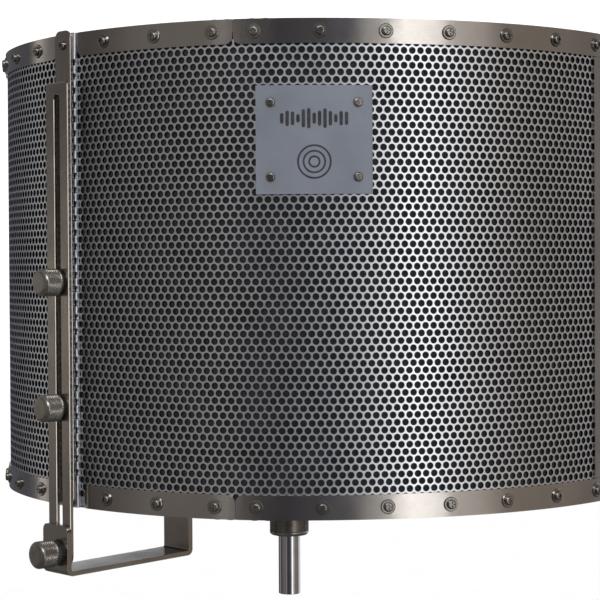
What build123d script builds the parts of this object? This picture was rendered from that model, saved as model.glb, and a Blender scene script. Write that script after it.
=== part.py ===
from build123d import *
import os
from math import cos, pi, sin

# Stand-mounted acoustic shield: a curved, perforated steel shell backed with foam, hung
# on a slotted bar and a cranked arm that clamps to the top of a microphone stand.
# Millimetres. +Z is up, +Y is the back of the shield and the open side faces -Y.
# The origin is on the stand's axis, at the lower end of the stand tube.

# ---- shell ------------------------------------------------------------------------
SHELL_HEIGHT = 308.4
SHELL_BASE_Z = 82.0
BACK_Y = 193.0  # outer face of the sheet at the middle of the back
# Half of the shell's outline, from the middle of the back: (arc length, outer radius).
SHELL_ARCS = ((90.0, 246.0), (80.0, 178.0), (95.0, 292.0), (137.0, 241.0))
HALF_LENGTH = sum(length for length, _ in SHELL_ARCS)
SHEET = 1.5
FOAM = 53.0
SHELL_TOP_Z = SHELL_BASE_Z + SHELL_HEIGHT

# ---- edge trim --------------------------------------------------------------------
TRIM = 1.2
BAND_HEIGHT = 15.4
FLANGE_WIDTH = 20.0
JOINT_S = 131.0  # joint between a centre band and a wing band
JOINT_GAP = 0.4
TOP_BAND_START = 11.7
BOTTOM_BAND_START = 16.2
BAND_CORNER = 5.0
SPLICE_REACH = 24.0
SPLICE_PLATE = 1.5
SPLICE_EDGES = (3.0, 16.0)  # depths below the sheet's outer face

# ---- fasteners --------------------------------------------------------------------
SCREW_R = 1.45
HOLE_R = 1.5
HEAD_R = 3.0
HEAD_HEIGHT = 1.9
CUP_R = 4.6
CUP_HEIGHT = 0.9
SEAT_GAP = 0.05
SCREW_PITCH = 40.65
CENTRE_SCREWS = [36.5 + SCREW_PITCH * i for i in range(3)]
WING_SCREWS = [144.2 + SCREW_PITCH * i for i in range(7)]
SCREW_DROP = BAND_HEIGHT / 2
FLANGE_SCREWS = [115.8, 124.8, 141.2, 150.2, 375.0, 383.5]
FLANGE_SCREW_DEPTH = 9.5
BUTTON_R = 2.8
BUTTON_HEIGHT = 1.6

# ---- badge ------------------------------------------------------------------------
BADGE_S = -181.0
BADGE_Z = SHELL_TOP_Z - 74.4
BADGE_SIZE = (71.7, 66.7)
BADGE_THICK = 1.0
RIVET_SPACING = (53.7, 45.7)
RIVET_R = 2.9
RIVET_HEIGHT = 1.4

# ---- back spine and strap ---------------------------------------------------------
SPINE_WIDTH = 21.0
SPINE_RISE = 3.0
STRAP_WIDTH = 16.8
STRAP_FRONT = SPINE_RISE + SHEET
STRAP_OVER_TOP = 2.0

# ---- slotted bar (distances "out" are from the sheet's outer face) ------------------
BAR_WIDTH = 24.0
BAR_THICK = 3.0
BAR_OUT = 6.75
BAR_TOP = SHELL_BASE_Z + 276.5
SLOT_WIDTH = 6.2
SLOT_TOP = SHELL_BASE_Z + 268.5
PIVOT_Z = SHELL_BASE_Z - 29.5
BAR_FOOT = 8.2  # flat end below the pivot

# ---- clamping studs and knobs -----------------------------------------------------
STUD_R = 2.5
KNOB_BORE_R = 2.55
KNOB_R = 9.0
KNOB_LENGTH = 13.2
KNOB_CROWN = 3.0  # radius of the domed outer edge
KNOB_GRIP = 9.0  # how far a stud reaches into its knob
WASHER_R = 8.0
WASHER_HOLE_R = 2.65
WASHER = 1.2
LOWER_WASHER = 2.6
SPACER_R = 6.5
SPACER = 2.1
PLAY = 0.2  # free play on each side of a clamped bar
UPPER_KNOB_Z = SHELL_BASE_Z + 146.7
MIDDLE_KNOB_Z = SHELL_BASE_Z + 65.1
BOLT_HEAD_R = 7.0
BOLT_HEAD = 1.7

# ---- cranked support arm ----------------------------------------------------------
ARM_WIDTH = 27.4
ARM_THICK = 3.2
ARM_BEND = 2.6  # bend radius of the bar's middle line
ARM_BOTTOM = SHELL_BASE_Z - 43.6
RUN_RISE = 2.7  # the run under the shell climbs towards the riser
EAR_TOP = SHELL_BASE_Z - 11.0
EAR_OUT = BAR_OUT + BAR_THICK + PLAY
EAR_CORNER = 4.5
RISER_DEPTH = 87.7
PLATFORM_TOP = SHELL_BASE_Z - 9.0
PLATFORM_END_Y = -52.0
ARM_SLOT_HALF = 30.0
ARM_SLOT_R = 8.2

# ---- stand adapter ----------------------------------------------------------------
TUBE_R = 7.94
TUBE_BORE_R = 6.44
TUBE_NECK_R = 7.5  # the narrower end that screws into the collar
TUBE_GRIP = 18.0
COLLAR_R = 14.2
COLLAR_BOTTOM = SHELL_BASE_Z - 39.1
COLLAR_BORE_R = 7.56
MIC_THREAD_R = 7.94
MIC_THREAD_TOP = SHELL_BASE_Z + 16.0
MIC_RELIEF_R = 7.4  # groove above the lock nut
MIC_RELIEF = 0.8
NUT_HEIGHT = 10.0
BIG_WASHER = 1.5
BIG_WASHER_R = 13.0
CLAMP_GAP = 0.1
NUT_BOTTOM = PLATFORM_TOP + BIG_WASHER + 2 * CLAMP_GAP

ARC_ENDS = [sum(length for length, _ in SHELL_ARCS[:i]) for i in range(1, len(SHELL_ARCS))]
SHELL_MARKS = sorted([-s for s in ARC_ENDS] + [0.0] + ARC_ENDS)
OUTWARD = (Align.CENTER, Align.CENTER, Align.MIN)
SIDES = {"left": -1, "right": 1}


# ---- shell geometry ---------------------------------------------------------------
def station(s, offset=0.0):
    """Point (x, y) and turn of the outer face at arc length s from the middle of the back."""
    side = 1 if s >= 0 else -1
    x, y, turn, left = 0.0, BACK_Y, 0.0, abs(s)
    for length, radius in SHELL_ARCS:
        step = min(left, length)
        x -= radius * sin(turn)
        y -= radius * cos(turn)
        turn += step / radius
        x += radius * sin(turn)
        y += radius * cos(turn)
        left -= step
    return (side * (x + offset * sin(turn)), y + offset * cos(turn)), side * turn


def point(s, offset):
    return station(s, offset)[0]


def strip(s0, s1, inner, outer, z0, z1):
    """A slab that follows the shell between two arc lengths, two offsets and two heights."""
    marks = [s0] + [m for m in SHELL_MARKS if s0 < m < s1] + [s1]

    def arcs(offset, stops):
        return [
            ThreePointArc(point(a, offset), point((a + b) / 2, offset), point(b, offset))
            for a, b in zip(stops, stops[1:])
        ]

    outline = arcs(outer, marks[::-1]) + [Line(point(s0, outer), point(s0, inner))]
    outline += arcs(inner, marks) + [Line(point(s1, inner), point(s1, outer))]
    face = Face(Wire(outline))
    if face.normal_at().Z < 0:
        face = -face
    return Pos(0, 0, z0) * extrude(face, z1 - z0)


def side_strip(side, s0, s1, *rest):
    """The same slab on one side of the middle, +1 or -1."""
    return strip(min(side * s0, side * s1), max(side * s0, side * s1), *rest)


def outward(s, offset, z):
    """A plane on the shell whose normal points out of it."""
    (x, y), turn = station(s, offset)
    return Plane(origin=(x, y, z), x_dir=(0, 0, 1), z_dir=(sin(turn), cos(turn), 0))


def peg(plane, radius, height):
    return plane * Cylinder(radius, height, align=OUTWARD)


def ring(plane, outer_radius, hole_radius, height):
    return peg(plane, outer_radius, height) - peg(plane, hole_radius, height)


# ---- fasteners --------------------------------------------------------------------
def band_screw_places(side):
    """(s, z) of every band screw on one side of the shell."""
    return [
        (side * s, z)
        for z in (SHELL_TOP_Z - SCREW_DROP, SHELL_BASE_Z + SCREW_DROP)
        for s in CENTRE_SCREWS + WING_SCREWS
    ]


def rivet_places():
    half_s, half_z = (size / 2 for size in RIVET_SPACING)
    return [(BADGE_S + i * half_s, BADGE_Z + j * half_z) for i in (-1, 1) for j in (-1, 1)]


def cross_screw(shank):
    """A pan-head screw with a cross recess: head above z = 0, shank below."""
    head = fillet(Cylinder(HEAD_R, HEAD_HEIGHT, align=OUTWARD).edges().group_by(Axis.Z)[-1], 1.2)
    slot = Pos(0, 0, HEAD_HEIGHT - 1.1) * Box(3.4, 0.8, 2, align=OUTWARD)
    head -= slot + Rot(0, 0, 90) * slot
    return head + Pos(0, 0, -shank) * Cylinder(SCREW_R, shank, align=OUTWARD)


def button_screw(shank):
    """A low round-head screw with a hex socket."""
    head = Cylinder(BUTTON_R, BUTTON_HEIGHT, align=OUTWARD)
    head = fillet(head.edges().group_by(Axis.Z)[-1], 1.3)
    head -= Pos(0, 0, BUTTON_HEIGHT - 0.9) * extrude(RegularPolygon(1.15, 6), 1)
    return head + Pos(0, 0, -shank) * Cylinder(SCREW_R, shank, align=OUTWARD)


def cup_washer():
    cup = Cylinder(CUP_R, CUP_HEIGHT, align=OUTWARD)
    cup = chamfer(cup.edges().group_by(Axis.Z)[-1], 0.5)
    return cup - Cylinder(HOLE_R + 0.1, 3 * CUP_HEIGHT)


def drill(part, places, depth=6.0):
    """Cuts a screw hole through the shell at each (s, z)."""
    for s, z in places:
        part -= peg(outward(s, -depth / 2, z), HOLE_R, depth)
    return part


# ---- shell parts ------------------------------------------------------------------
def perforated_sheet(side):
    sheet = side_strip(
        side, 0.1, HALF_LENGTH, -SHEET, 0.0, SHELL_BASE_Z + TRIM, SHELL_TOP_Z - TRIM
    )
    holes = band_screw_places(side)
    if side * BADGE_S > 0:
        holes += rivet_places()
    return drill(sheet, holes)


def foam_pad():
    room = TRIM + SPLICE_PLATE + 0.1
    end = HALF_LENGTH - 0.1
    return strip(
        -end, end, -SHEET - FOAM, -SHEET - 0.05, SHELL_BASE_Z + room, SHELL_TOP_Z - room
    )


def flange_holes(part, side, z):
    for s in FLANGE_SCREWS:
        x, y = point(side * s, -FLANGE_SCREW_DEPTH)
        part -= Pos(x, y, z) * Cylinder(HOLE_R, 12)
    return part


def corner_waste(s, z, along, up):
    """What rounding off a band's corner removes; along and up (+1 or -1) point into the band."""
    r = BAND_CORNER
    extra = 0.5
    block = Pos(up * (r - extra) / 2, along * (r - extra) / 2) * Rectangle(r + extra, r + extra)
    block -= Pos(up * r, along * r) * Circle(r)
    waste = extrude(block, 3 * TRIM)
    return outward(s, -TRIM, z) * waste


def band(side, level, s0, s1, round_start, round_end):
    """An angle trim: a leg on the shell's outer face and a flange over its edge."""
    top = level == "top"
    edge = SHELL_TOP_Z if top else SHELL_BASE_Z
    free = edge - BAND_HEIGHT if top else edge + BAND_HEIGHT
    inside = edge - TRIM if top else edge + TRIM
    leg = side_strip(side, s0, s1, 0.0, TRIM, min(edge, free), max(edge, free))
    into_band = 1 if edge > free else -1
    if round_start:
        leg -= corner_waste(side * s0, free, side, into_band)
    if round_end:
        leg -= corner_waste(side * s1, free, -side, into_band)
    flange_start = 0.1 if s0 < JOINT_S / 2 else s0
    flange = side_strip(
        side, flange_start, s1, -FLANGE_WIDTH, 0.0, min(edge, inside), max(edge, inside)
    )
    near = [(s, z) for s, z in band_screw_places(side) if s0 < abs(s) < s1 and abs(z - edge) < 20]
    return flange_holes(drill(leg + flange, near), side, edge)


def splice_plate(side, level):
    top = level == "top"
    edge = SHELL_TOP_Z - TRIM if top else SHELL_BASE_Z + TRIM
    other = edge - SPLICE_PLATE if top else edge + SPLICE_PLATE
    near, far = SPLICE_EDGES
    plate = side_strip(
        side, JOINT_S - SPLICE_REACH, JOINT_S + SPLICE_REACH, -far, -near,
        min(edge, other), max(edge, other),
    )
    return flange_holes(plate, side, edge)


def end_trim(side):
    """The upright at a free end: a leg between the bands, a cap and two folded tabs."""
    low, high = SHELL_BASE_Z, SHELL_TOP_Z
    leg = side_strip(
        side, HALF_LENGTH - BAND_HEIGHT, HALF_LENGTH, 0.0, TRIM,
        low + BAND_HEIGHT + 0.2, high - BAND_HEIGHT - 0.2,
    )
    (x, y), turn = station(side * HALF_LENGTH, (TRIM - FLANGE_WIDTH) / 2)
    facing = Plane(origin=(x, y, low), x_dir=(sin(turn), cos(turn), 0), z_dir=(0, 0, 1))
    cap = Box(FLANGE_WIDTH + TRIM, TRIM, SHELL_HEIGHT, align=OUTWARD)
    cap = facing * Pos(0, -side * TRIM / 2, 0) * cap
    near, far = SPLICE_EDGES
    start = FLANGE_SCREWS[-2] - 6.0
    tabs = side_strip(
        side, start, HALF_LENGTH, -far, -near, low + TRIM, low + TRIM + SPLICE_PLATE
    )
    tabs += side_strip(
        side, start, HALF_LENGTH, -far, -near, high - TRIM - SPLICE_PLATE, high - TRIM
    )
    return leg + cap + flange_holes(flange_holes(tabs, side, low), side, high)


def badge_plate():
    half_s, half_z = (size / 2 for size in BADGE_SIZE)
    plate = strip(
        BADGE_S - half_s, BADGE_S + half_s, 0.0, BADGE_THICK, BADGE_Z - half_z, BADGE_Z + half_z
    )
    return drill(plate, rivet_places())


def rivet():
    dome = Cylinder(RIVET_R, RIVET_HEIGHT, align=OUTWARD)
    dome = fillet(dome.edges().group_by(Axis.Z)[-1], 1.2)
    shank = BADGE_THICK + SHEET
    return dome + Pos(0, 0, -shank) * Cylinder(SCREW_R, shank, align=OUTWARD)


def upright_plate(width, z0, z1, out, thickness):
    """A flat plate centred on the back, standing off the sheet's outer face."""
    y = BACK_Y + out + thickness / 2
    return Pos(0, y, (z0 + z1) / 2) * Box(width, thickness, z1 - z0)


def centre_spine():
    """The hat-shaped rib that joins the two sheets down the middle of the back."""
    low, high = SHELL_BASE_Z, SHELL_TOP_Z
    body = upright_plate(SPINE_WIDTH, low, high, 0.0, SPINE_RISE)
    clear = SPINE_WIDTH - 2 * SHEET
    return body - upright_plate(clear, low, high, -SHEET, SPINE_RISE)


def mount_strap():
    low, high = SHELL_BASE_Z + 0.5, SHELL_TOP_Z + STRAP_OVER_TOP
    strap = upright_plate(STRAP_WIDTH, low, high, SPINE_RISE, SHEET)
    corners = strap.edges().filter_by(Axis.Y)
    return fillet(corners, 5.0)


def through_back(part, z, radius):
    return part - peg(back_plane(-5.0, z), radius, 20.0)


def back_plane(out, z):
    return Plane(origin=(0, BACK_Y + out, z), x_dir=(1, 0, 0), z_dir=(0, 1, 0))


# ---- bar, arm and adapter ---------------------------------------------------------
def slotted_bar():
    outline = Pos(0, (PIVOT_Z + BAR_TOP) / 2) * Rectangle(BAR_WIDTH, BAR_TOP - PIVOT_Z)
    outline = fillet(outline.vertices().group_by(Axis.Y)[-1], 2.0)
    foot = Pos(0, PIVOT_Z) * Circle(BAR_WIDTH / 2)
    outline += foot & (Pos(0, PIVOT_Z) * Rectangle(BAR_WIDTH, 2 * BAR_FOOT))
    slot_bottom = PIVOT_Z - SLOT_WIDTH / 2 - 0.1
    slot = Rot(0, 0, 90) * SlotOverall(SLOT_TOP - slot_bottom, SLOT_WIDTH)
    outline -= Pos(0, (SLOT_TOP + slot_bottom) / 2) * slot
    face = Plane(origin=(0, BACK_Y + BAR_OUT, 0), x_dir=(1, 0, 0), z_dir=(0, -1, 0)) * outline
    return extrude(face, BAR_THICK, dir=(0, 1, 0))


def support_arm():
    """A flat bar bent four times: ear, run under the shell, riser and platform."""
    half = ARM_THICK / 2
    ear_y = BACK_Y + EAR_OUT + half
    riser_y = BACK_Y - RISER_DEPTH - half
    run_z = ARM_BOTTOM + half
    platform_z = PLATFORM_TOP - half
    corners = [
        (0, ear_y, EAR_TOP), (0, ear_y, run_z), (0, riser_y, run_z + RUN_RISE),
        (0, riser_y, platform_z), (0, PLATFORM_END_Y, platform_z),
    ]
    path = FilletPolyline(*corners, radius=ARM_BEND)
    start = Plane(origin=corners[0], x_dir=(1, 0, 0), z_dir=(0, 0, -1))
    arm = sweep(start * Rectangle(ARM_WIDTH, ARM_THICK), path=path)
    ear_edges = arm.edges().filter_by(Axis.Y).group_by(Axis.Y)[-1].group_by(Axis.Z)[-1]
    arm = fillet(ear_edges, EAR_CORNER)
    end_edges = arm.edges().filter_by(Axis.Z).group_by(Axis.Y)[0]
    arm = fillet(end_edges, 8.0)
    arm = through_back(arm, PIVOT_Z, KNOB_BORE_R)
    slot = Rot(0, 0, 90) * SlotOverall(2 * (ARM_SLOT_HALF + ARM_SLOT_R), 2 * ARM_SLOT_R)
    return arm - Pos(0, 0, PLATFORM_TOP - 2 * ARM_THICK) * extrude(slot, 4 * ARM_THICK)


def knob(base_out, z):
    plane = back_plane(base_out, z)
    body = Cylinder(KNOB_R, KNOB_LENGTH, align=OUTWARD)
    body = fillet(body.edges().group_by(Axis.Z)[-1], KNOB_CROWN)
    body = chamfer(body.edges().group_by(Axis.Z)[0], 0.6)
    return plane * (body - Cylinder(KNOB_BORE_R, KNOB_GRIP + 0.5, align=OUTWARD))


def upright_peg(radius, z0, z1):
    """A cylinder on the stand's axis between two heights."""
    return Pos(0, 0, z0) * Cylinder(radius, z1 - z0, align=OUTWARD)


def collar():
    """Knurled adapter: bored for the stand below, threaded for the microphone above."""
    top = PLATFORM_TOP - ARM_THICK - BIG_WASHER - 2 * CLAMP_GAP
    body = upright_peg(COLLAR_R, COLLAR_BOTTOM, top)
    body = fillet(body.edges().group_by(Axis.Z)[0], 2.2)
    body = chamfer(body.edges().group_by(Axis.Z)[-1], 0.6)
    body -= upright_peg(COLLAR_BORE_R, COLLAR_BOTTOM - 1, COLLAR_BOTTOM + TUBE_GRIP + 0.5)
    thread = upright_peg(MIC_THREAD_R, top, MIC_THREAD_TOP)
    thread = chamfer(thread.edges().group_by(Axis.Z)[-1], 0.8)
    groove = NUT_BOTTOM + NUT_HEIGHT + CLAMP_GAP
    thread -= ring(Plane(origin=(0, 0, groove)), COLLAR_R, MIC_RELIEF_R, MIC_RELIEF)
    return body + thread


def stand_tube():
    top = COLLAR_BOTTOM + TUBE_GRIP
    tube = upright_peg(TUBE_R, 0.0, COLLAR_BOTTOM) + upright_peg(TUBE_NECK_R, COLLAR_BOTTOM, top)
    return tube - upright_peg(TUBE_BORE_R, 0.0, top)


def lock_nut():
    top = NUT_BOTTOM + NUT_HEIGHT
    nut = upright_peg(COLLAR_R, NUT_BOTTOM, top)
    nut = chamfer(nut.edges().group_by(Axis.Z)[-1], 1.0)
    return nut - upright_peg(MIC_THREAD_R + 0.06, NUT_BOTTOM, top)


def flat_ring(z):
    return ring(Plane(origin=(0, 0, z)), BIG_WASHER_R, MIC_THREAD_R + 0.06, BIG_WASHER)


# ---- the assembly -----------------------------------------------------------------
nodes = {
    "stand_tube": stand_tube(),
    "stand_adapter": collar(),
    "lock_nut": lock_nut(),
    "upper_thrust_washer": flat_ring(PLATFORM_TOP + CLAMP_GAP),
    "lower_thrust_washer": flat_ring(PLATFORM_TOP - ARM_THICK - BIG_WASHER - CLAMP_GAP),
    "support_arm": support_arm(),
    "slotted_bar": slotted_bar(),
    "foam_pad": foam_pad(),
    "centre_spine": centre_spine(),
    "mount_strap": mount_strap(),
    "badge_plate": badge_plate(),
}

for name, side in SIDES.items():
    nodes[f"perforated_sheet_{name}"] = perforated_sheet(side)
    nodes[f"end_trim_{name}"] = end_trim(side)
    for level, start in (("top", TOP_BAND_START), ("bottom", BOTTOM_BAND_START)):
        joint_end = JOINT_S - JOINT_GAP / 2
        joint_start = JOINT_S + JOINT_GAP / 2
        nodes[f"{level}_centre_band_{name}"] = band(side, level, start, joint_end, True, True)
        nodes[f"{level}_wing_band_{name}"] = band(
            side, level, joint_start, HALF_LENGTH, True, False
        )
        nodes[f"{level}_splice_plate_{name}"] = splice_plate(side, level)

# Knobs that clamp the shell to the bar: spacer, stud, washer and knob on the strap.
BAR_FRONT = BAR_OUT + BAR_THICK
for name, z in (("upper", UPPER_KNOB_Z), ("middle", MIDDLE_KNOB_Z)):
    washer_out = BAR_FRONT + PLAY
    knob_out = washer_out + WASHER + SEAT_GAP
    nodes[f"{name}_spacer"] = ring(back_plane(STRAP_FRONT, z), SPACER_R, WASHER_HOLE_R, SPACER)
    stud_length = knob_out + KNOB_GRIP - STRAP_FRONT
    nodes[f"{name}_stud"] = peg(back_plane(STRAP_FRONT, z), STUD_R, stud_length)
    nodes[f"{name}_washer"] = ring(back_plane(washer_out, z), WASHER_R, WASHER_HOLE_R, WASHER)
    nodes[f"{name}_knob"] = knob(knob_out, z)

# The knob that clamps the bar to the arm's ear, on a bolt from behind.
ear_front = EAR_OUT + ARM_THICK
lower_knob_out = ear_front + LOWER_WASHER + SEAT_GAP
head_out = BAR_OUT - 0.1 - BOLT_HEAD
bolt = peg(back_plane(head_out, PIVOT_Z), BOLT_HEAD_R, BOLT_HEAD)
bolt += peg(back_plane(head_out, PIVOT_Z), STUD_R, lower_knob_out + KNOB_GRIP - head_out)
nodes["lower_bolt"] = bolt
washer_plane = back_plane(ear_front, PIVOT_Z)
nodes["lower_washer"] = ring(washer_plane, WASHER_R, WASHER_HOLE_R, LOWER_WASHER)
nodes["lower_knob"] = knob(lower_knob_out, PIVOT_Z)

# Groups of identical fasteners.
cup_out = TRIM + SEAT_GAP
head_seat = cup_out + CUP_HEIGHT
screw = cross_screw(head_seat + SHEET)
cup = cup_washer()
for level in ("top", "bottom"):
    edge = SHELL_TOP_Z if level == "top" else SHELL_BASE_Z
    places = [
        (s, z) for side in (-1, 1) for s, z in band_screw_places(side) if abs(z - edge) < BAND_HEIGHT
    ]
    nodes[f"{level}_band_screws"] = Compound([outward(s, head_seat, z) * screw for s, z in places])
    nodes[f"{level}_cup_washers"] = Compound([outward(s, cup_out, z) * cup for s, z in places])
    button = button_screw(TRIM + SPLICE_PLATE)
    upright = Rot(0, 0, 0) if level == "top" else Rot(180, 0, 0)
    spots = [point(side * s, -FLANGE_SCREW_DEPTH) for side in (-1, 1) for s in FLANGE_SCREWS]
    buttons = [Pos(x, y, edge) * upright * button for x, y in spots]
    nodes[f"{level}_flange_screws"] = Compound(buttons)

rivets = [outward(s, BADGE_THICK + SEAT_GAP, z) * rivet() for s, z in rivet_places()]
nodes["badge_rivets"] = Compound(rivets)

strap_screw = cross_screw(STRAP_FRONT + SHEET)
strap_places = (SHELL_TOP_Z - SCREW_DROP, SHELL_BASE_Z + SCREW_DROP)
nodes["strap_screws"] = Compound([back_plane(STRAP_FRONT, z) * strap_screw for z in strap_places])
for name in ("mount_strap", "centre_spine", "perforated_sheet_left", "perforated_sheet_right"):
    for z in strap_places:
        nodes[name] = through_back(nodes[name], z, HOLE_R)

os.makedirs("parts", exist_ok=True)
for name, shape in nodes.items():
    export_step(shape, f"parts/{name}.step")
print(len(nodes), "nodes")
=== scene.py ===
import math

import bpy
import numpy as np
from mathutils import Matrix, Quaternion, Vector, noise


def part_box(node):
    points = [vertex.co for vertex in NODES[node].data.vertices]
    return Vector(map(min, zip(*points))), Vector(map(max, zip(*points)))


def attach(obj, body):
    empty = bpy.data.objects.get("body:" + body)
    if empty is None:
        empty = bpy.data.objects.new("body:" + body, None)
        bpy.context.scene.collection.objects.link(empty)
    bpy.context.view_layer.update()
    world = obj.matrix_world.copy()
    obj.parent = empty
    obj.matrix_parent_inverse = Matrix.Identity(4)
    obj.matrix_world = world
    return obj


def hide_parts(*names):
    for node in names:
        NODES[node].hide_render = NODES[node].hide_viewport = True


# Looks of the stand-mounted acoustic shield: punched sheets, foam, knurled knobs and adapter,
# metal finishes and a small photographic studio. Metres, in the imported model's frame.
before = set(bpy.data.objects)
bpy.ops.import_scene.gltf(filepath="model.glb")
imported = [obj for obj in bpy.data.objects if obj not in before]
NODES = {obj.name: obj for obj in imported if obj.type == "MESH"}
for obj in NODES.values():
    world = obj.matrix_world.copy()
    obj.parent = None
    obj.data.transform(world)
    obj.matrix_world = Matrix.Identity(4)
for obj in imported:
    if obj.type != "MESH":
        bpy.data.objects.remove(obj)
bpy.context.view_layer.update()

MM = 0.001

# ---- sizes read from the frame ----------------------------------------------------
SHELL_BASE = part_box("bottom_centre_band_left")[0].z
SHELL_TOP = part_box("top_centre_band_left")[1].z
SHELL_HEIGHT = SHELL_TOP - SHELL_BASE
BACK_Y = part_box("perforated_sheet_left")[1].y

# ---- shell ------------------------------------------------------------------------
# Half of the shell's outline, from the middle of the back: (arc length, outer radius).
SHELL_ARCS = ((90 * MM, 246 * MM), (80 * MM, 178 * MM), (95 * MM, 292 * MM), (137 * MM, 241 * MM))
HALF_LENGTH = sum(length for length, _ in SHELL_ARCS)
SHEET = 1.5 * MM
BAND_HEIGHT = 15.4 * MM
SIDES = {"left": -1, "right": 1}

# ---- perforation ------------------------------------------------------------------
PITCH = 5.3 * MM
ROW = PITCH * math.sqrt(3) / 2
HOLE_R = 2.15 * MM
HOLE_SIDES = 18  # a multiple of six
FIRST_COLUMN = 3.975 * MM  # arc length of the lattice's column 0
PANELS = 3  # per side, to keep each mesh small
SHEET_MARGIN = 1.2 * MM  # from the sheet's edge to the shell's top or base, under the bands

# ---- spine ------------------------------------------------------------------------
SPINE_HALF = 10.5 * MM
SPINE_RISE = 3.0 * MM
SPINE_FOLD = 1.2 * MM
SPINE_HOLES = (6.95 * MM, 9.6 * MM)  # distance from the middle, on alternate rows
PUNCH_SIDES = 16

# ---- foam -------------------------------------------------------------------------
FOAM_DEPTH = (1.6 * MM, 54.3 * MM)  # nearest and farthest, behind the shell's outer face
FLANGE = 20.0 * MM
FOAM_UNDER_FLANGE = 2.9 * MM
FOAM_PROUD = 1.0 * MM  # gap to the shell's edge where the foam swells past the flange
FOAM_EDGE = 7.0 * MM
FOAM_CROWN = 2.0 * MM  # how far the middle of the inner face swells out
FOAM_SWELL = 5.0 * MM  # depth over which the foam swells out behind the flange
FOAM_END_ROUND = 6.0 * MM
FOAM_END_GAP = 1.4 * MM
FOAM_WAVES = ((34, 0.45), (150, 0.16))  # (noise scale, height in mm) of the uneven surface
FOAM_FREE = 8.0 * MM  # depth past the flange at which the unevenness is complete
FOAM_STEPS = 240

# ---- badge ------------------------------------------------------------------------
BADGE_S = -181.0 * MM  # arc length of the badge's middle
BADGE_THICK = 1.0 * MM
MARK_THICK = 0.12 * MM

# ---- knurling ---------------------------------------------------------------------
KNURL_PITCH = 1.6 * MM
KNURL_DEPTH = 0.52 * MM
KNURL_SAMPLES = 6  # mesh steps per ridge
KNURL_FADE = 0.4 * MM  # run-out at each end of the knurl
KNURL_FLAT = 0.82  # share of the ridge height at which its top is flattened
THREAD_PITCH = 0.941 * MM
THREAD_DEPTH = 0.5 * MM
THREAD_SAMPLES = 8  # mesh steps per turn of the thread
KNOB_BORE_R = 2.55 * MM
KNOB_CROWN = 3.0 * MM  # radius of the domed outer edge
KNOB_BORE_DEPTH = 9.5 * MM


# ---- shell geometry ---------------------------------------------------------------
def station(s, offset=0.0):
    """Point (x, y) on the shell at arc length s from the middle of the back."""
    side = 1 if s >= 0 else -1
    x, y, turn, left = 0.0, BACK_Y, 0.0, abs(s)
    for length, radius in SHELL_ARCS:
        step = min(left, length)
        x -= radius * math.sin(turn)
        y -= radius * math.cos(turn)
        turn += step / radius
        x += radius * math.sin(turn)
        y += radius * math.cos(turn)
        left -= step
    return side * (x + offset * math.sin(turn)), y + offset * math.cos(turn)


def on_shell(s, z, offset):
    """Points of the shell for arrays of arc lengths and heights, at one offset."""
    known = {value: station(value, offset) for value in np.unique(s)}
    plan = np.array([known[value] for value in s])
    return np.column_stack([plan, z])


# ---- mesh helpers -----------------------------------------------------------------
def finish_mesh(name, mesh, materials, sharp_degrees):
    mesh.validate()
    for material in materials if isinstance(materials, tuple) else (materials,):
        mesh.materials.append(material)
    mesh.shade_smooth()
    mesh.set_sharp_from_angle(angle=math.radians(sharp_degrees))
    piece = bpy.data.objects.new(name, mesh)
    bpy.context.scene.collection.objects.link(piece)
    return piece


def from_arrays(name, points, faces, material, sharp_degrees=35.0, slots=None):
    """A piece from points and (count, corners) face arrays, with a material slot for each array."""
    mesh = bpy.data.meshes.new(name)
    corners = np.concatenate([face.ravel() for face in faces])
    sizes = np.concatenate([np.full(len(face), face.shape[1]) for face in faces])
    starts = np.concatenate([[0], np.cumsum(sizes)[:-1]])
    mesh.vertices.add(len(points))
    mesh.vertices.foreach_set("co", np.asarray(points, np.float32).ravel())
    mesh.loops.add(len(corners))
    mesh.loops.foreach_set("vertex_index", corners.astype(np.int32))
    mesh.polygons.add(len(sizes))
    mesh.polygons.foreach_set("loop_start", starts.astype(np.int32))
    if slots:
        numbers = np.concatenate([np.full(len(face), slot) for face, slot in zip(faces, slots)])
        mesh.polygons.foreach_set("material_index", numbers.astype(np.int32))
    mesh.update(calc_edges=True)
    return finish_mesh(name, mesh, material, sharp_degrees)


def from_lists(name, points, faces, material, sharp_degrees=35.0):
    mesh = bpy.data.meshes.new(name)
    mesh.from_pydata(points, [], faces)
    mesh.update()
    return finish_mesh(name, mesh, material, sharp_degrees)


def place(piece, body, slot, *replaced):
    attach(piece, body)
    if replaced:
        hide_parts(*replaced)


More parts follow.
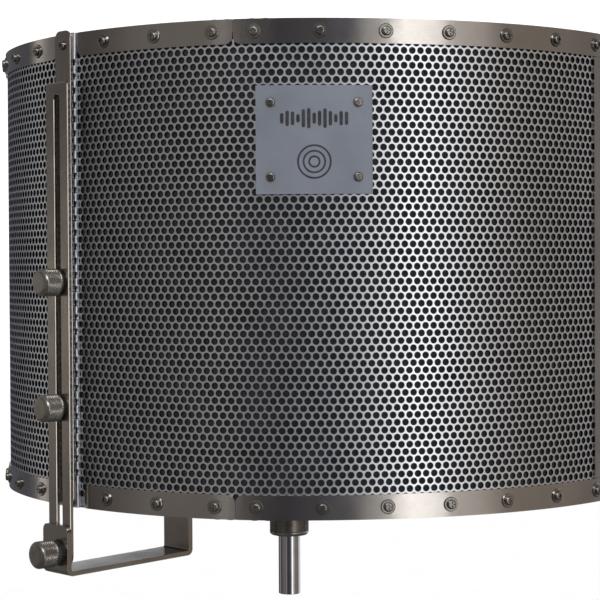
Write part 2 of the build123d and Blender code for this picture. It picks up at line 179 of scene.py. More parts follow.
# ---- materials --------------------------------------------------------------------
class Recipe:
    """Builds one node material around a Principled shader."""

    def __init__(self, name):
        self.material = bpy.data.materials.new(name)
        self.material.use_nodes = True
        self.tree = self.material.node_tree
        self.shader = self.tree.nodes["Principled BSDF"]
        self.coordinates = self.node("ShaderNodeTexCoord").outputs["Object"]

    def node(self, kind, **settings):
        made = self.tree.nodes.new(kind)
        for key, value in settings.items():
            setattr(made, key, value)
        return made

    def join(self, source, target):
        self.tree.links.new(source, target)

    def noise(self, scale, detail=4.0, stretch=(1, 1, 1), distortion=0.0):
        mapping = self.node("ShaderNodeMapping")
        mapping.inputs["Scale"].default_value = stretch
        self.join(self.coordinates, mapping.inputs["Vector"])
        texture = self.node("ShaderNodeTexNoise")
        texture.inputs["Scale"].default_value = scale
        texture.inputs["Detail"].default_value = detail
        texture.inputs["Distortion"].default_value = distortion
        self.join(mapping.outputs["Vector"], texture.inputs["Vector"])
        return texture.outputs["Fac"]

    def cells(self, scale, feature="F1"):
        texture = self.node("ShaderNodeTexVoronoi", feature=feature)
        texture.inputs["Scale"].default_value = scale
        self.join(self.coordinates, texture.inputs["Vector"])
        return texture.outputs["Distance"]

    def ramp(self, source, *stops):
        """Stops are (position, colour) with a grey or an (r, g, b)."""
        made = self.node("ShaderNodeValToRGB")
        elements = made.color_ramp.elements
        while len(elements) < len(stops):
            elements.new(0.5)
        for element, (position, colour) in zip(elements, stops):
            element.position = position
            rgb = (colour,) * 3 if isinstance(colour, (int, float)) else colour
            element.color = (*rgb, 1.0)
        self.join(source, made.inputs["Fac"])
        return made.outputs["Color"]

    def spread(self, source, low, high, start=0.3, end=0.7):
        """Maps a noise value to a range."""
        made = self.node("ShaderNodeMapRange")
        for key, value in (("From Min", start), ("From Max", end), ("To Min", low), ("To Max", high)):
            made.inputs[key].default_value = value
        self.join(source, made.inputs["Value"])
        return made.outputs["Result"]

    def combine(self, operation, first, second):
        made = self.node("ShaderNodeMath", operation=operation)
        for socket, value in zip(made.inputs, (first, second)):
            if isinstance(value, (int, float)):
                socket.default_value = value
            else:
                self.join(value, socket)
        return made.outputs["Value"]

    def multiply(self, share, base, over):
        """Darkens a colour by another, with the given strength."""
        mixed = self.node("ShaderNodeMix", data_type="RGBA", blend_type="MULTIPLY")
        mixed.inputs[0].default_value = share
        self.join(base, mixed.inputs[6])
        self.join(over, mixed.inputs[7])
        return mixed.outputs[2]

    def bump(self, *layers):
        """Stacks bumps, each (height, depth in metres)."""
        normal = None
        for height, depth in layers:
            made = self.node("ShaderNodeBump")
            made.inputs["Strength"].default_value = 1.0
            made.inputs["Distance"].default_value = depth
            self.join(height, made.inputs["Height"])
            if normal is not None:
                self.join(normal, made.inputs["Normal"])
            normal = made.outputs["Normal"]
        self.join(normal, self.shader.inputs["Normal"])

    def set(self, **values):
        for key, value in values.items():
            socket = self.shader.inputs[key.replace("_", " ")]
            if isinstance(value, (int, float)):
                socket.default_value = value
            else:
                self.join(value, socket)
        return self.material


def plated_metal(name, dark, light, smooth, rough, brush=(1, 1, 1), brush_depth=0.004 * MM, stain=0.18):
    """Plated or bare metal: drifting tint, hazy smudges, brushed grain and fine scratches."""
    recipe = Recipe(name)
    drift = recipe.noise(22, 3.0)
    tint = recipe.ramp(drift, (0.36, dark), (0.62, light))
    smudge = recipe.noise(95, 6.0, distortion=0.6)
    stained = recipe.ramp(smudge, (0.30, 0.55), (0.46, 1.0))
    colour = recipe.multiply(stain, tint, stained)
    grain = recipe.noise(900, 5.0, stretch=brush)
    haze = recipe.noise(48, 5.0, distortion=0.4)
    base = recipe.spread(haze, smooth, rough, 0.35, 0.66)
    fine = recipe.spread(grain, -0.05, 0.05)
    roughness = recipe.combine("ADD", base, fine)
    scratch = recipe.noise(260, 2.0, stretch=(brush[0], brush[1], brush[2] * 0.6), distortion=1.2)
    recipe.bump((grain, brush_depth), (scratch, brush_depth * 1.5))
    return recipe.set(Base_Color=colour, Metallic=1.0, Roughness=roughness)


def foam_material():
    """Charcoal open-cell foam: pores darkened with painted shade, soft mottling and a matt, slightly
    fuzzy surface.
    """
    recipe = Recipe("open_cell_foam")
    pores = recipe.cells(1100)
    large = recipe.cells(430, "SMOOTH_F1")
    mottle = recipe.noise(55, 5.0)
    skin = recipe.ramp(mottle, (0.32, (0.013, 0.013, 0.014)), (0.68, (0.026, 0.026, 0.029)))
    # Painted shade: the colour darkens towards the middle of each pore.
    painted_pore_shade = recipe.ramp(pores, (0.08, 0.35), (0.55, 1.0))
    colour = recipe.multiply(0.8, skin, painted_pore_shade)
    rough = recipe.spread(mottle, 0.90, 1.0)
    recipe.bump((large, 0.35 * MM), (pores, 0.25 * MM))
    return recipe.set(
        Base_Color=colour, Roughness=rough, Specular_IOR_Level=0.15, Sheen_Weight=0.15
    )


def rubber_material():
    recipe = Recipe("black_washer")
    speck = recipe.noise(1500, 4.0)
    wear = recipe.noise(160, 4.0)
    colour = recipe.ramp(wear, (0.3, (0.012, 0.012, 0.012)), (0.7, (0.035, 0.034, 0.033)))
    recipe.bump((speck, 0.03 * MM))
    return recipe.set(Base_Color=colour, Roughness=recipe.spread(wear, 0.42, 0.62))


def badge_material():
    """Bead-blasted, anodised plate with a faint cool cast."""
    recipe = Recipe("badge_plate_satin")
    blast = recipe.noise(3200, 3.0)
    drift = recipe.noise(38, 4.0)
    colour = recipe.ramp(drift, (0.35, (0.155, 0.17, 0.205)), (0.66, (0.185, 0.20, 0.24)))
    fine = recipe.spread(blast, -0.04, 0.04)
    rough = recipe.combine("ADD", recipe.spread(drift, 0.48, 0.56), fine)
    recipe.bump((blast, 0.012 * MM))
    return recipe.set(Base_Color=colour, Metallic=0.35, Roughness=rough)


def ink_material():
    """Dark screen-printed ink with slight uneven gloss."""
    recipe = Recipe("printed_ink")
    patch = recipe.noise(420, 5.0)
    colour = recipe.ramp(patch, (0.3, (0.010, 0.011, 0.014)), (0.7, (0.030, 0.032, 0.038)))
    recipe.bump((recipe.noise(2600, 3.0), 0.01 * MM))
    return recipe.set(Base_Color=colour, Roughness=recipe.spread(patch, 0.40, 0.55))


SHEET_METAL = plated_metal(
    "perforated_stainless", (0.76, 0.785, 0.83), (0.82, 0.845, 0.89), 0.33, 0.37, (1, 1, 0.25),
    stain=0.05,
)
# Hole walls coloured near-black: painted shade inside the punched holes, not the steel's own colour.
PUNCHED_SHADE = plated_metal("punched_hole_wall_painted_shade", (0.025, 0.025, 0.028), (0.05, 0.05, 0.055), 0.5, 0.7)
TRIM_METAL = plated_metal(
    "polished_trim", (0.48, 0.452, 0.425), (0.54, 0.51, 0.48), 0.13, 0.19, (1, 1, 3), 0.001 * MM, 0.08
)
BRACKET_METAL = plated_metal(
    "dark_nickel_bracket", (0.37, 0.34, 0.31), (0.44, 0.41, 0.375), 0.15, 0.25, (2.5, 2.5, 0.08),
    0.005 * MM,
)
KNOB_METAL = plated_metal(
    "dark_nickel_knob", (0.32, 0.298, 0.272), (0.42, 0.394, 0.362), 0.25, 0.33, (1, 1, 1), 0.003 * MM
)
SCREW_METAL = plated_metal(
    "dark_nickel_screws", (0.28, 0.265, 0.245), (0.38, 0.36, 0.335), 0.20, 0.30, (1, 1, 1), 0.002 * MM
)
CHROME = plated_metal(
    "bright_chrome", (0.50, 0.50, 0.51), (0.58, 0.58, 0.59), 0.03, 0.08, (1, 1, 4), 0.0006 * MM
)
FOAM = foam_material()
RUBBER = rubber_material()
BADGE = badge_material()
INK = ink_material()


# ---- perforated sheets ------------------------------------------------------------
def hole_places(low, high):
    """Lattice numbers (column, row) of the holes between two arc lengths on one side."""
    first_row = math.floor((BAND_HEIGHT - HOLE_R) / ROW)
    last_row = math.ceil((SHELL_HEIGHT - BAND_HEIGHT + HOLE_R) / ROW)
    places = []
    for row in range(first_row, last_row + 1):
        for column in range(int(2 * HALF_LENGTH / PITCH)):
            s = FIRST_COLUMN + column * PITCH / 2
            if (column + row) % 2 and low <= s < high:
                places.append((column, row))
    return np.array(places)


def perforated_panel(name, side, low, high):
    """A closed piece of punched sheet: a hexagonal cell round each hole, both faces, all walls."""
    holes = hole_places(low, high)
    count = len(holes)
    hex_steps = np.array([(1, 1), (0, 2), (-1, 1), (-1, -1), (0, -2), (1, -1)])
    cell_keys = holes[:, None, :] * (1, 3) + hex_steps
    corners, index = np.unique(cell_keys.reshape(-1, 2), axis=0, return_inverse=True)
    index = index.reshape(count, 6)
    corner_s = FIRST_COLUMN + corners[:, 0] * PITCH / 2
    corner_z = SHELL_BASE + corners[:, 1] * ROW / 3
    top_row, bottom_row = holes[:, 1].max(), holes[:, 1].min()
    corner_z[corners[:, 1] > 3 * top_row] = SHELL_TOP - SHEET_MARGIN
    corner_z[corners[:, 1] < 3 * bottom_row] = SHELL_BASE + SHEET_MARGIN

    angles = np.arange(HOLE_SIDES) * 2 * math.pi / HOLE_SIDES
    hole_s = FIRST_COLUMN + holes[:, 0] * PITCH / 2
    hole_z = SHELL_BASE + holes[:, 1] * ROW

    rim_s = (hole_s[:, None] + HOLE_R * np.cos(angles)).ravel()
    rim_z = (hole_z[:, None] + HOLE_R * np.sin(angles)).ravel()

    layers = [
        on_shell(side * corner_s, corner_z, 0.0),
        on_shell(side * corner_s, corner_z, -SHEET),
        on_shell(side * rim_s, rim_z, 0.0),
        on_shell(side * rim_s, rim_z, -SHEET),
    ]
    front, back, outer, inner = np.cumsum([0] + [len(layer) for layer in layers])[:4]
    ring = np.arange(count * HOLE_SIDES).reshape(count, HOLE_SIDES)
    after = np.roll(ring, -1, axis=1)

    # Each corner of a cell fans out to a sixth of the rim, and a triangle fills each side.
    triangles, back_triangles = [], []
    share = HOLE_SIDES // 6
    for k in range(6):
        corner, following = index[:, k], index[:, (k + 1) % 6]
        for step in range(k * share, (k + 1) * share):
            near, far = ring[:, step], after[:, step]
            triangles.append(np.column_stack([corner + front, far + outer, near + outer]))
            back_triangles.append(np.column_stack([corner + back, near + inner, far + inner]))
        triangles.append(np.column_stack([corner + front, following + front, far + outer]))
        back_triangles.append(np.column_stack([following + back, corner + back, far + inner]))
    hole_wall = np.stack([ring + outer, after + outer, after + inner, ring + inner], axis=-1)
    faces = [np.concatenate(triangles), np.concatenate(back_triangles), hole_wall.reshape(-1, 4)]

    # Outer walls along the edges that only one cell uses.
    edges = np.stack([index, np.roll(index, -1, axis=1)], axis=-1).reshape(-1, 2)
    _, where, uses = np.unique(np.sort(edges, axis=1), axis=0, return_index=True, return_counts=True)
    rim_edges = edges[where[uses == 1]]
    wall = [rim_edges[:, 0] + front, rim_edges[:, 0] + back, rim_edges[:, 1] + back,
            rim_edges[:, 1] + front]
    faces.append(np.stack(wall, axis=-1))
    if side > 0:
        faces = [face[:, ::-1] for face in faces]
    # The hole walls take the near-black painted shade.
    slots = (0, 0, 1, 0)
    return from_arrays(name, np.concatenate(layers), faces, (SHEET_METAL, PUNCHED_SHADE), slots=slots)


def perforated_sheets():
    start = SPINE_HALF - PITCH / 2
    end = HALF_LENGTH - PITCH
    step = (end - start) / PANELS
    for name, side in SIDES.items():
        for number in range(PANELS):
            low = start + number * step
            panel = perforated_panel(f"perforated_panel_{name}_{number + 1}", side, low, low + step)
            place(panel, "shield", "perforated_steel", f"perforated_sheet_{name}")


def add_punch(points, faces, x, z):
    """Adds a hole punch across the spine's face to the lists."""
    sides = PUNCH_SIDES
    base = len(points)
    near, far = BACK_Y + SPINE_RISE + MM, BACK_Y + SPINE_RISE - SHEET - 0.4 * MM
    for y in (near, far):
        for step in range(sides):
            angle = 2 * math.pi * step / sides
            points.append((x + HOLE_R * math.cos(angle), y, z + HOLE_R * math.sin(angle)))
    faces.append([base + step for step in reversed(range(sides))])
    faces.append([base + sides + step for step in range(sides)])
    for step in range(sides):
        after = (step + 1) % sides
        faces.append([base + step, base + after, base + sides + after, base + sides + step])


def centre_spine():
    """The folded rib down the middle of the back, with its part rows of holes."""

    def hat(half, rise, radius):
        """Half of the folded profile, from the foot up and round the fold."""
        points = [(half, 0.0)]
        for step in range(7):
            angle = math.pi / 2 * step / 6
            x = half - radius + radius * math.cos(angle)
            points.append((x, rise - radius + radius * math.sin(angle)))
        return points

    outer = hat(SPINE_HALF, SPINE_RISE, SPINE_FOLD)
    inner = hat(SPINE_HALF - SHEET, SPINE_RISE - SHEET, SPINE_FOLD / 3)
    outline = outer + [(-x, y) for x, y in reversed(outer)]
    outline += [(-x, y) for x, y in inner] + list(reversed(inner))
    count = len(outline)
    points = [(x, BACK_Y + y, z) for z in (SHELL_BASE, SHELL_TOP) for x, y in outline]
    faces = [list(range(count)), [count + i for i in reversed(range(count))]]
    for i in range(count):
        after = (i + 1) % count
        faces.append([after, i, count + i, count + after])
    spine = from_lists("perforated_spine", points, faces, SHEET_METAL)

    punches, punch_faces = [], []
    first = math.ceil((BAND_HEIGHT + HOLE_R) / ROW)
    last = math.floor((SHELL_HEIGHT - BAND_HEIGHT - HOLE_R) / ROW)
    for row in range(first, last + 1):
        for side in (-1, 1):
            add_punch(punches, punch_faces, side * SPINE_HOLES[row % 2], SHELL_BASE + row * ROW)
    punch = from_lists("spine_punch", punches, punch_faces, SHEET_METAL)
    cut = spine.modifiers.new("holes", "BOOLEAN")
    cut.operation = "DIFFERENCE"
    cut.solver = "EXACT"
    cut.object = punch
    bpy.context.view_layer.update()
    graph = bpy.context.evaluated_depsgraph_get()
    punched = bpy.data.meshes.new_from_object(spine.evaluated_get(graph))
    spine.modifiers.clear()
    spine.data = punched
    punched.set_sharp_from_angle(angle=math.radians(35))
    bpy.data.objects.remove(punch)
    place(spine, "shield", "perforated_steel", "centre_spine")


# ---- foam -------------------------------------------------------------------------
def foam_section():
    """Half of the foam's section: (depth behind the sheet, height from the middle)."""
    start, end = FOAM_DEPTH
    held = SHELL_HEIGHT / 2 - FOAM_UNDER_FLANGE
    free = SHELL_HEIGHT / 2 - FOAM_PROUD
    points = [(start, held * step / 6) for step in range(6)]
    points += [(start + (FLANGE - start) * step / 5, held) for step in range(6)]
    for step in range(1, 7):
        share = step / 6
        rise = (free - held) * math.sin(share * math.pi / 2)
        points.append((FLANGE + FOAM_SWELL * share, held + rise))
    run = end - FOAM_EDGE - FLANGE - FOAM_SWELL
    points += [(FLANGE + FOAM_SWELL + run * step / 5, free) for step in range(1, 6)]
    for step in range(1, 9):
        angle = math.pi / 2 * step / 8
        points.append((
            end - FOAM_EDGE + FOAM_EDGE * math.sin(angle),
            free - FOAM_EDGE + FOAM_EDGE * math.cos(angle),
        ))
    flat = free - FOAM_EDGE
    for step in range(1, 17):
        height = flat * (1 - step / 16)
        points.append((end + FOAM_CROWN * (1 - (height / flat) ** 2), height))
    return points


def foam_lining():
    """One thick pad that follows the shell, pinched by the flanges and swelling past them."""
    half = foam_section()
    section = half + [(depth, -height) for depth, height in reversed(half[1:-1])]
    middle_z = (SHELL_BASE + SHELL_TOP) / 2
    middle = sum(FOAM_DEPTH) / 2
    length = HALF_LENGTH - FOAM_END_GAP
    stations = [length * (2 * step / FOAM_STEPS - 1) for step in range(FOAM_STEPS + 1)]
    for share in (0.75, 0.5, 0.28, 0.12, 0.03):
        stations += [length - FOAM_END_ROUND * share, FOAM_END_ROUND * share - length]
    stations = sorted(stations)
    points = []
    for s in stations:
        near = min(1.0, (length - abs(s)) / FOAM_END_ROUND)
        inset = FOAM_END_ROUND * (1 - math.sqrt(max(0.0, 1 - (1 - near) ** 2)))
        for depth, height in section:
            room_depth = max(0.0, abs(depth - middle) - inset)
            room_height = max(0.0, abs(height) - inset)
            d = middle + math.copysign(room_depth, depth - middle)
            z = middle_z + math.copysign(room_height, height)
            spot = Vector((*station(s, -d), z))
            waves = sum(noise.noise(spot * scale) * size for scale, size in FOAM_WAVES)
            free = min(1.0, max(0.0, (depth - FLANGE) / FOAM_FREE))
            points.append((*station(s, -(d + waves * MM * free)), z))
    ring = len(section)
    faces = [list(reversed(range(ring)))]
    for row in range(len(stations) - 1):
        for i in range(ring):
            a, b = row * ring + i, row * ring + (i + 1) % ring
            faces.append([a, b, b + ring, a + ring])
    last = (len(stations) - 1) * ring
    faces.append([last + i for i in range(ring)])
    foam = from_lists("foam_lining", points, faces, FOAM, 75.0)
    place(foam, "shield", "foam", "foam_pad")


# ---- turned parts -----------------------------------------------------------------
def knurl(angle, height, count, low, high):
    """Relief from 0 to 1 of a diamond knurl between two heights, with short run-outs."""
    around = count * angle / (2 * math.pi)
    along = (height - low) / KNURL_PITCH
    first = np.abs(((around + along) % 1.0) * 2 - 1)
    second = np.abs(((around - along) % 1.0) * 2 - 1)
    relief = np.minimum(np.minimum(first, second), KNURL_FLAT) / KNURL_FLAT
    fade = np.clip(np.minimum(height - low, high - height) / KNURL_FADE, 0, 1)
    return 1 - fade * (1 - relief)


def knurl_count(radius):
    return round(2 * math.pi * radius / KNURL_PITCH)


def knurl_cut(radius, low, high, slack=0.01 * MM):
    """Depth that the knurl takes off a ring, for rings within the slack of the full radius."""
    count = knurl_count(radius)

    def cut(angle, height, at_radius):
        if not low <= height <= high or at_radius < radius - slack:
            return 0.0
        return KNURL_DEPTH * (1 - knurl(angle, height, count, low, high))

    return cut


def turned(name, profile, columns, to_world, material, cut, sharp_degrees=28.0, capped=True):
    """A turned part: rings of (radius, height), less cut(angle, height, radius), closed by caps
    or, for a ring-shaped part, by joining the last ring to the first."""
    angles = np.arange(columns) * 2 * math.pi / columns
    rings = []
    for radius, height in profile:
        r = radius - cut(angles, height, radius)
        rings.append(np.column_stack([r * np.cos(angles), r * np.sin(angles), np.full(columns, height)]))
    number = np.arange(len(profile) * columns).reshape(len(profile), columns)
    caps = [number[0][::-1][None, :], number[-1][None, :]] if capped else []
    if not capped:
        number = np.concatenate([number, number[:1]])
    after = np.roll(number, -1, axis=1)
    quads = np.stack([number[:-1], after[:-1], after[1:], number[1:]], axis=-1).reshape(-1, 4)
    return from_arrays(name, to_world(np.concatenate(rings)), [quads, *caps], material, sharp_degrees)


def arc_rings(radius, height, curve, steps, start, end):
    """Profile points along an arc of the given curve radius, between two angles in degrees."""
    points = []
    for step in range(steps + 1):
        angle = math.radians(start + (end - start) * step / steps)
        points.append((radius + curve * math.cos(angle), height + curve * math.sin(angle)))
    return points


def knurl_rings(radius, low, high):
    """Profile points close enough together to carry the knurl."""
    step = KNURL_PITCH / KNURL_SAMPLES
    return [(radius, low + step * index) for index in range(int((high - low) / step) + 1)]


def knob(name):
    low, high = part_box(name)
    radius, length = (high.x - low.x) / 2, high.y - low.y
    centre_z = (low.z + high.z) / 2
    shoulder = length - KNOB_CROWN
    onto_crown = 20  # degrees of the domed edge that the knurl still covers
    knurl_low = 0.9 * MM
    knurl_high = shoulder + KNOB_CROWN * math.sin(math.radians(onto_crown))
    chamfer = 0.6 * MM
    inner = radius - KNOB_CROWN
    profile = [(KNOB_BORE_R, KNOB_BORE_DEPTH), (KNOB_BORE_R, 0.0)]
    profile += [(radius - chamfer, 0.0), (radius, chamfer)]
    profile += knurl_rings(radius, knurl_low, shoulder - 0.2 * MM)
    profile += arc_rings(inner, shoulder, KNOB_CROWN, 5, 0, onto_crown)
    profile += arc_rings(inner, shoulder, KNOB_CROWN, 9, onto_crown + 5, 90)
    profile += [(radius * 0.35, length - 0.02 * MM), (radius * 0.15, length - 0.04 * MM)]
    cut = knurl_cut(radius, knurl_low, knurl_high, 1.0 * MM)

    def to_world(local):
        return np.column_stack([local[:, 0], low.y + local[:, 2], centre_z - local[:, 1]])

    columns = KNURL_SAMPLES * knurl_count(radius)
    piece = turned(f"{name}_knurled", profile, columns, to_world, KNOB_METAL, cut)
    place(piece, name, "knob_steel", name)


def upright(local):
    return local


def adapter():
    """The knurled collar and, above it, the threaded stud for the microphone."""
    low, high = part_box("stand_adapter")
    radius = (high.x - low.x) / 2
    washer_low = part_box("lower_thrust_washer")[0].z
    neck_r = 7.56 * MM
    thread_r = 7.9 * MM
    collar_top = washer_low - 0.1 * MM
    base_round = 2.2 * MM
    chamfer = 0.6 * MM
    knurl_low, knurl_high = low.z + 2.6 * MM, collar_top - 1.0 * MM
    bore_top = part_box("stand_tube")[1].z + 0.5 * MM
    profile = [(neck_r, bore_top), (neck_r, low.z)]
    profile += arc_rings(radius - base_round, low.z + base_round, base_round, 8, -90, 0)
    profile += knurl_rings(radius, knurl_low, knurl_high)
    profile += [(radius, collar_top - chamfer), (radius - chamfer, collar_top)]
    cut = knurl_cut(radius, knurl_low, knurl_high)
    columns = KNURL_SAMPLES * knurl_count(radius)
    collar = turned("adapter_collar", profile, columns, upright, KNOB_METAL, cut)

    bottom, top = collar_top - 0.5 * MM, high.z
    tip_chamfer = 0.8 * MM
    steps = round((top - bottom - tip_chamfer) / (THREAD_PITCH / THREAD_SAMPLES))
    rows = [(thread_r, bottom + step * THREAD_PITCH / THREAD_SAMPLES) for step in range(steps + 1)]
    rows += [(thread_r - tip_chamfer, top)]

    def helix(angle, height, at_radius):
        turn = (height / THREAD_PITCH - angle / (2 * math.pi)) % 1.0
        fade = min(1.0, (top - height) / (1.6 * MM))
        return THREAD_DEPTH * np.abs(turn * 2 - 1) * fade if at_radius == thread_r else 0.0

    stud = turned("microphone_stud", rows, 64, upright, SCREW_METAL, helix, 20.0)
    place(collar, "adapter", "knob_steel", "stand_adapter")
    place(stud, "adapter", "screw_steel", "stand_adapter")


def lock_nut():
    low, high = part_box("lock_nut")
    radius = (high.x - low.x) / 2
    bore = 8.0 * MM
    edge, shoulder = 0.5 * MM, 1.0 * MM
    knurl_low, knurl_high = low.z + 0.9 * MM, high.z - 1.4 * MM
    profile = [(bore, high.z - edge), (bore, low.z), (radius - edge, low.z), (radius, low.z + edge)]
    profile += knurl_rings(radius, knurl_low, knurl_high)
    profile += [(radius, high.z - shoulder), (radius - shoulder, high.z), (bore + edge, high.z)]
    cut = knurl_cut(radius, knurl_low, knurl_high)
    columns = KNURL_SAMPLES * knurl_count(radius)
    nut = turned("lock_nut_knurled", profile, columns, upright, KNOB_METAL, cut, capped=False)
    place(nut, "lock_nut", "knob_steel", "lock_nut")


# ---- badge ------------------------------------------------------------------------
def badge_mark():
    """A generic printed device: a row of level bars over three sound rings."""
    low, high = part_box("badge_plate")
    centre_z = (low.z + high.z) / 2
    points, faces = [], []

    def at(across, up, lift):
        x, y = station(BADGE_S - across, BADGE_THICK + lift)
        return x, y, centre_z + up

    def bar(across, up, width, height):
        """A bar with rounded ends, raised by the ink's thickness."""
        outline = []
        r = width / 2
        for end in (1, -1):
            centre_up = up + end * (height / 2 - r)
            for step in range(7):
                angle = math.pi * step / 6 + (0 if end > 0 else math.pi)
                outline.append((across + r * math.cos(angle), centre_up + r * math.sin(angle)))
        base, count = len(points), len(outline)
        points.extend(at(a, b, lift) for lift in (0.0, MARK_THICK) for a, b in outline)
        faces.append([base + i for i in reversed(range(count))])
        faces.append([base + count + i for i in range(count)])
        for i in range(count):
            j = (i + 1) % count
            faces.append([base + i, base + j, base + count + j, base + count + i])

    def sound_ring(across, up, radius, width):
        count, base = 56, len(points)
        for lift in (0.0, MARK_THICK):
            for r in (radius - width / 2, radius + width / 2):
                for step in range(count):
                    angle = 2 * math.pi * step / count
                    points.append(at(across + r * math.cos(angle), up + r * math.sin(angle), lift))
        low_in, low_out, top_in, top_out = (base + count * k for k in range(4))
        for i in range(count):
            j = (i + 1) % count
            faces.append([top_in + i, top_out + i, top_out + j, top_in + j])
            faces.append([low_in + j, low_out + j, low_out + i, low_in + i])
            faces.append([low_out + j, top_out + j, top_out + i, low_out + i])
            faces.append([low_in + i, top_in + i, top_in + j, low_in + j])

    bars, gap, bar_width, bars_up = 13, 3.3 * MM, 2.1 * MM, 13.0 * MM
    for number in range(bars):
        from_middle = number - bars // 2
        swing = abs(math.sin(0.9 * number + 0.6)) * (1 - abs(from_middle) / 11)
        bar(from_middle * gap, bars_up, bar_width, (4.0 + 10.0 * swing) * MM)
    rings_up, line = -13.5 * MM, 1.1 * MM
    for radius in (3.2, 6.6, 10.0):
        sound_ring(0.0, rings_up, radius * MM, line)
    mark = from_lists("badge_mark", points, faces, INK)
    place(mark, "shield", "badge_aluminium")


# ---- carried-over parts -----------------------------------------------------------
def finish_of(name):
    """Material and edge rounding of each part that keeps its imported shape."""
    if name == "stand_tube":
        return CHROME, 0.3 * MM
    if name == "badge_plate":
        return BADGE, 0.25 * MM
    if "washer" in name and "cup" not in name:
        return RUBBER, 0.15 * MM
    if "band_" in name and "screws" not in name or name.startswith("end_trim"):
        return TRIM_METAL, 0.3 * MM
    if "screws" in name or "cup_washers" in name or "rivets" in name or "stud" in name:
        return SCREW_METAL, 0.0
    if name == "lower_bolt":
        return SCREW_METAL, 0.3 * MM
    if name == "slotted_bar":
        return BRACKET_METAL, 1.0 * MM
    return BRACKET_METAL, 0.45 * MM


def dress(name, piece):
    material, edge = finish_of(name)
    piece.data.materials.clear()
    piece.data.materials.append(material)
    if edge:
        weld = piece.modifiers.new("weld", "WELD")
        weld.merge_threshold = 0.001 * MM
        flat = piece.modifiers.new("merge_flats", "DECIMATE")
        flat.decimate_type = "DISSOLVE"
        flat.angle_limit = math.radians(0.2)
        bevel = piece.modifiers.new("rounded_edges", "BEVEL")
        bevel.width = edge
        bevel.segments = 2
        bevel.limit_method = "ANGLE"
        bevel.angle_limit = math.radians(40)
        smooth = piece.modifiers.new("even_shading", "WEIGHTED_NORMAL")
        smooth.keep_sharp = True


# ---- studio -----------------------------------------------------------------------
FLOOR_Z = -2.3


def floor_material():
    recipe = Recipe("pale_floor")
    speck = recipe.noise(3, 4.0)
    colour = recipe.ramp(speck, (0.3, (0.815, 0.815, 0.815)), (0.7, (0.83, 0.83, 0.83)))
    return recipe.set(Base_Color=colour, Roughness=0.8)


def floor():
    half, depth = 30.0, FLOOR_Z
    corners = [(-half, -half, depth), (half, -half, depth), (half, half, depth), (-half, half, depth)]
    plane = from_lists("studio_floor", corners, [[0, 1, 2, 3]], floor_material())
    plane.visible_glossy = False


# Brightness all round the studio: (azimuth in degrees from the back towards +X, colour).
WALL_TONES = (
    (-180, (0.95, 0.95, 0.97)),
    (-164, (0.95, 0.95, 0.97)),
    (-155, (0.22, 0.215, 0.21)),
    (-146, (0.22, 0.20, 0.18)),
    (-136, (0.27, 0.24, 0.21)),
    (-118, (0.28, 0.245, 0.215)),
    (-108, (0.28, 0.245, 0.215)),
    (-102, (0.50, 0.46, 0.425)),
    (-98, (0.62, 0.58, 0.55)),
    (-88, (0.64, 0.62, 0.60)),
    (-86, (1.6, 1.57, 1.54)),
    (-82, (1.9, 1.88, 1.86)),
    (-74, (2.1, 2.09, 2.07)),
    (-72, (0.62, 0.61, 0.60)),
    (-66, (0.52, 0.51, 0.50)),
    (-62, (0.12, 0.12, 0.145)),
    (-50, (0.085, 0.082, 0.095)),
    (-40, (0.06, 0.058, 0.070)),
    (-30, (0.075, 0.073, 0.075)),
    (-21, (0.13, 0.125, 0.12)),
    (-17, (0.34, 0.32, 0.31)),
    (-13, (0.34, 0.32, 0.31)),
    (-10, (0.20, 0.185, 0.175)),
    (20, (0.20, 0.185, 0.175)),
    (34, (0.13, 0.12, 0.112)),
    (42, (0.09, 0.083, 0.08)),
    (47, (0.09, 0.083, 0.08)),
    (51, (0.15, 0.143, 0.135)),
    (58, (0.17, 0.16, 0.155)),
    (62, (0.21, 0.20, 0.195)),
    (66, (0.30, 0.285, 0.27)),
    (68, (0.66, 0.62, 0.58)),
    (72, (0.66, 0.62, 0.58)),
    (75, (0.085, 0.087, 0.10)),
    (90, (0.10, 0.104, 0.12)),
    (121, (0.11, 0.114, 0.13)),
    (124, (1.9, 1.93, 2.02)),
    (130, (1.9, 1.93, 2.02)),
    (133, (0.30, 0.31, 0.34)),
    (142, (0.30, 0.31, 0.34)),
    (150, (0.95, 0.95, 0.97)),
    (180, (0.95, 0.95, 0.97)),
)
CEILING = (0.24, 0.24, 0.25)
GROUND = (0.11, 0.105, 0.10)
# A soft panel at eye level, which lightens the middle of the slotted bar.
EYE_PANEL = (0.25, 0.22, 0.19)
PANEL_AZIMUTHS = (46, 49, 58, 62)  # it fades in between the first two and out between the last
PANEL_HEIGHTS = (-0.15, 0.25)
PANEL_FADE_HEIGHTS = (-0.7, 0.8)
WALL_RADIUS = 6.0
WALL_TOP = 3.2


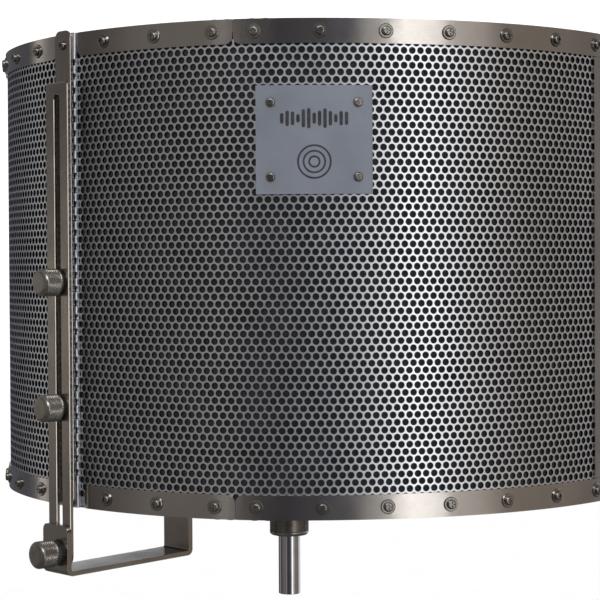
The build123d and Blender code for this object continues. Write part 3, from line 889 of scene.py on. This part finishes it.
def studio_wall():
    """A glowing tent of dark flags and soft panels, seen only in the metal's reflections."""
    columns = 720
    tones = np.array([(angle, *colour) for angle, colour in WALL_TONES])
    angles = np.linspace(-180, 180, columns + 1)
    around = np.column_stack([np.interp(angles, tones[:, 0], tones[:, k]) for k in (1, 2, 3)])
    turn = np.radians(angles)
    low = FLOOR_Z - 0.1
    panel = np.interp(angles, PANEL_AZIMUTHS, (0, 1, 1, 0))[:, None] * np.array(EYE_PANEL)
    # the levels of the tent: (radius, height, share of the plain colour, plain colour)
    levels = [(0.01, low, 1.0, GROUND), (WALL_RADIUS, low, 1.0, GROUND)]
    heights = (low + 0.6, *sorted(PANEL_FADE_HEIGHTS + PANEL_HEIGHTS), WALL_TOP)
    levels += [(WALL_RADIUS, height, 0.0, GROUND) for height in heights]
    levels += [(5.0, WALL_TOP + 1.8, 1.0, CEILING), (0.01, WALL_TOP + 2.8, 1.0, CEILING)]
    points, colours, faces = [], [], []
    for radius, height, share, plain in levels:
        points += [(radius * math.sin(a), radius * math.cos(a), height) for a in turn]
        lit = 1.0 if height in PANEL_HEIGHTS else 0.0
        colours.append(around * (1 - share) + np.array(plain) * share + lit * panel)
    row = columns + 1
    for level in range(len(levels) - 1):
        base = level * row
        faces += [[base + i, base + i + 1, base + row + i + 1, base + row + i] for i in range(columns)]
    mesh = bpy.data.meshes.new("studio_wall")
    mesh.from_pydata(points, [], faces)
    paint = mesh.color_attributes.new("tone", "FLOAT_COLOR", "POINT")
    tone = np.column_stack([np.concatenate(colours), np.ones(len(points))])
    paint.data.foreach_set("color", tone.ravel())
    material = bpy.data.materials.new("studio_glow")
    material.use_nodes = True
    tree = material.node_tree
    tree.nodes.remove(tree.nodes["Principled BSDF"])
    glow = tree.nodes.new("ShaderNodeEmission")
    painted = tree.nodes.new("ShaderNodeAttribute")
    painted.attribute_name = "tone"
    tree.links.new(painted.outputs["Color"], glow.inputs["Color"])
    tree.links.new(glow.outputs["Emission"], tree.nodes["Material Output"].inputs["Surface"])
    mesh.materials.append(material)
    wall = bpy.data.objects.new("studio_wall", mesh)
    bpy.context.scene.collection.objects.link(wall)
    wall.visible_camera = False
    wall.visible_diffuse = False
    wall.visible_shadow = False


def soft_light(name, place_at, aim, size, power, colour):
    lamp = bpy.data.lights.new(name, "AREA")
    lamp.shape = "RECTANGLE"
    lamp.size, lamp.size_y = size
    lamp.energy = power
    lamp.color = colour
    made = bpy.data.objects.new(name, lamp)
    made.location = place_at
    made.rotation_mode = "QUATERNION"
    made.rotation_quaternion = (Vector(aim) - Vector(place_at)).to_track_quat("-Z", "Y")
    made.visible_camera = False
    bpy.context.scene.collection.objects.link(made)


def studio():
    floor()
    studio_wall()
    world = bpy.data.worlds.new("studio_sky")
    bpy.context.scene.world = world
    world.use_nodes = True
    sky = world.node_tree.nodes["Background"]
    sky.inputs["Color"].default_value = (1.0, 1.0, 1.0, 1.0)
    sky.inputs["Strength"].default_value = 1.2
    middle = (0.0, 0.1, 0.25)
    soft_light("key_softbox", (-2.2, 2.4, 2.6), middle, (2.2, 1.4), 40, (1.0, 0.99, 0.97))
    soft_light("fill_softbox", (1.8, -2.4, 2.4), middle, (2.4, 1.6), 45, (0.96, 0.98, 1.0))
    bpy.context.scene.view_settings.view_transform = "Standard"


# ---- camera -----------------------------------------------------------------------
CAMERA_PLACE = (-0.9605, 0.8742, 0.2393)
CAMERA_HEADING = (0.735, -0.678)
CAMERA_TILT = 1.13  # degrees below level
CAMERA_ROLL = -0.3  # degrees
CAMERA_LENS = 107.1  # millimetres


def camera():
    x, y = CAMERA_HEADING
    look = Vector((x, y, -math.tan(math.radians(CAMERA_TILT)) * math.hypot(x, y)))
    made = bpy.data.objects.new("camera", bpy.data.cameras.new("camera"))
    made.data.lens = CAMERA_LENS
    made.data.sensor_width = 36.0
    made.location = CAMERA_PLACE
    made.rotation_mode = "QUATERNION"
    roll = Quaternion((0, 0, 1), math.radians(CAMERA_ROLL))
    made.rotation_quaternion = look.to_track_quat("-Z", "Y") @ roll
    bpy.context.scene.collection.objects.link(made)
    bpy.context.scene.camera = made


# ---- the picture ------------------------------------------------------------------
for node_name, node_piece in NODES.items():
    dress(node_name, node_piece)
perforated_sheets()
centre_spine()
foam_lining()
for knob_name in ("upper_knob", "middle_knob", "lower_knob"):
    knob(knob_name)
adapter()
lock_nut()
badge_mark()
studio()
camera()
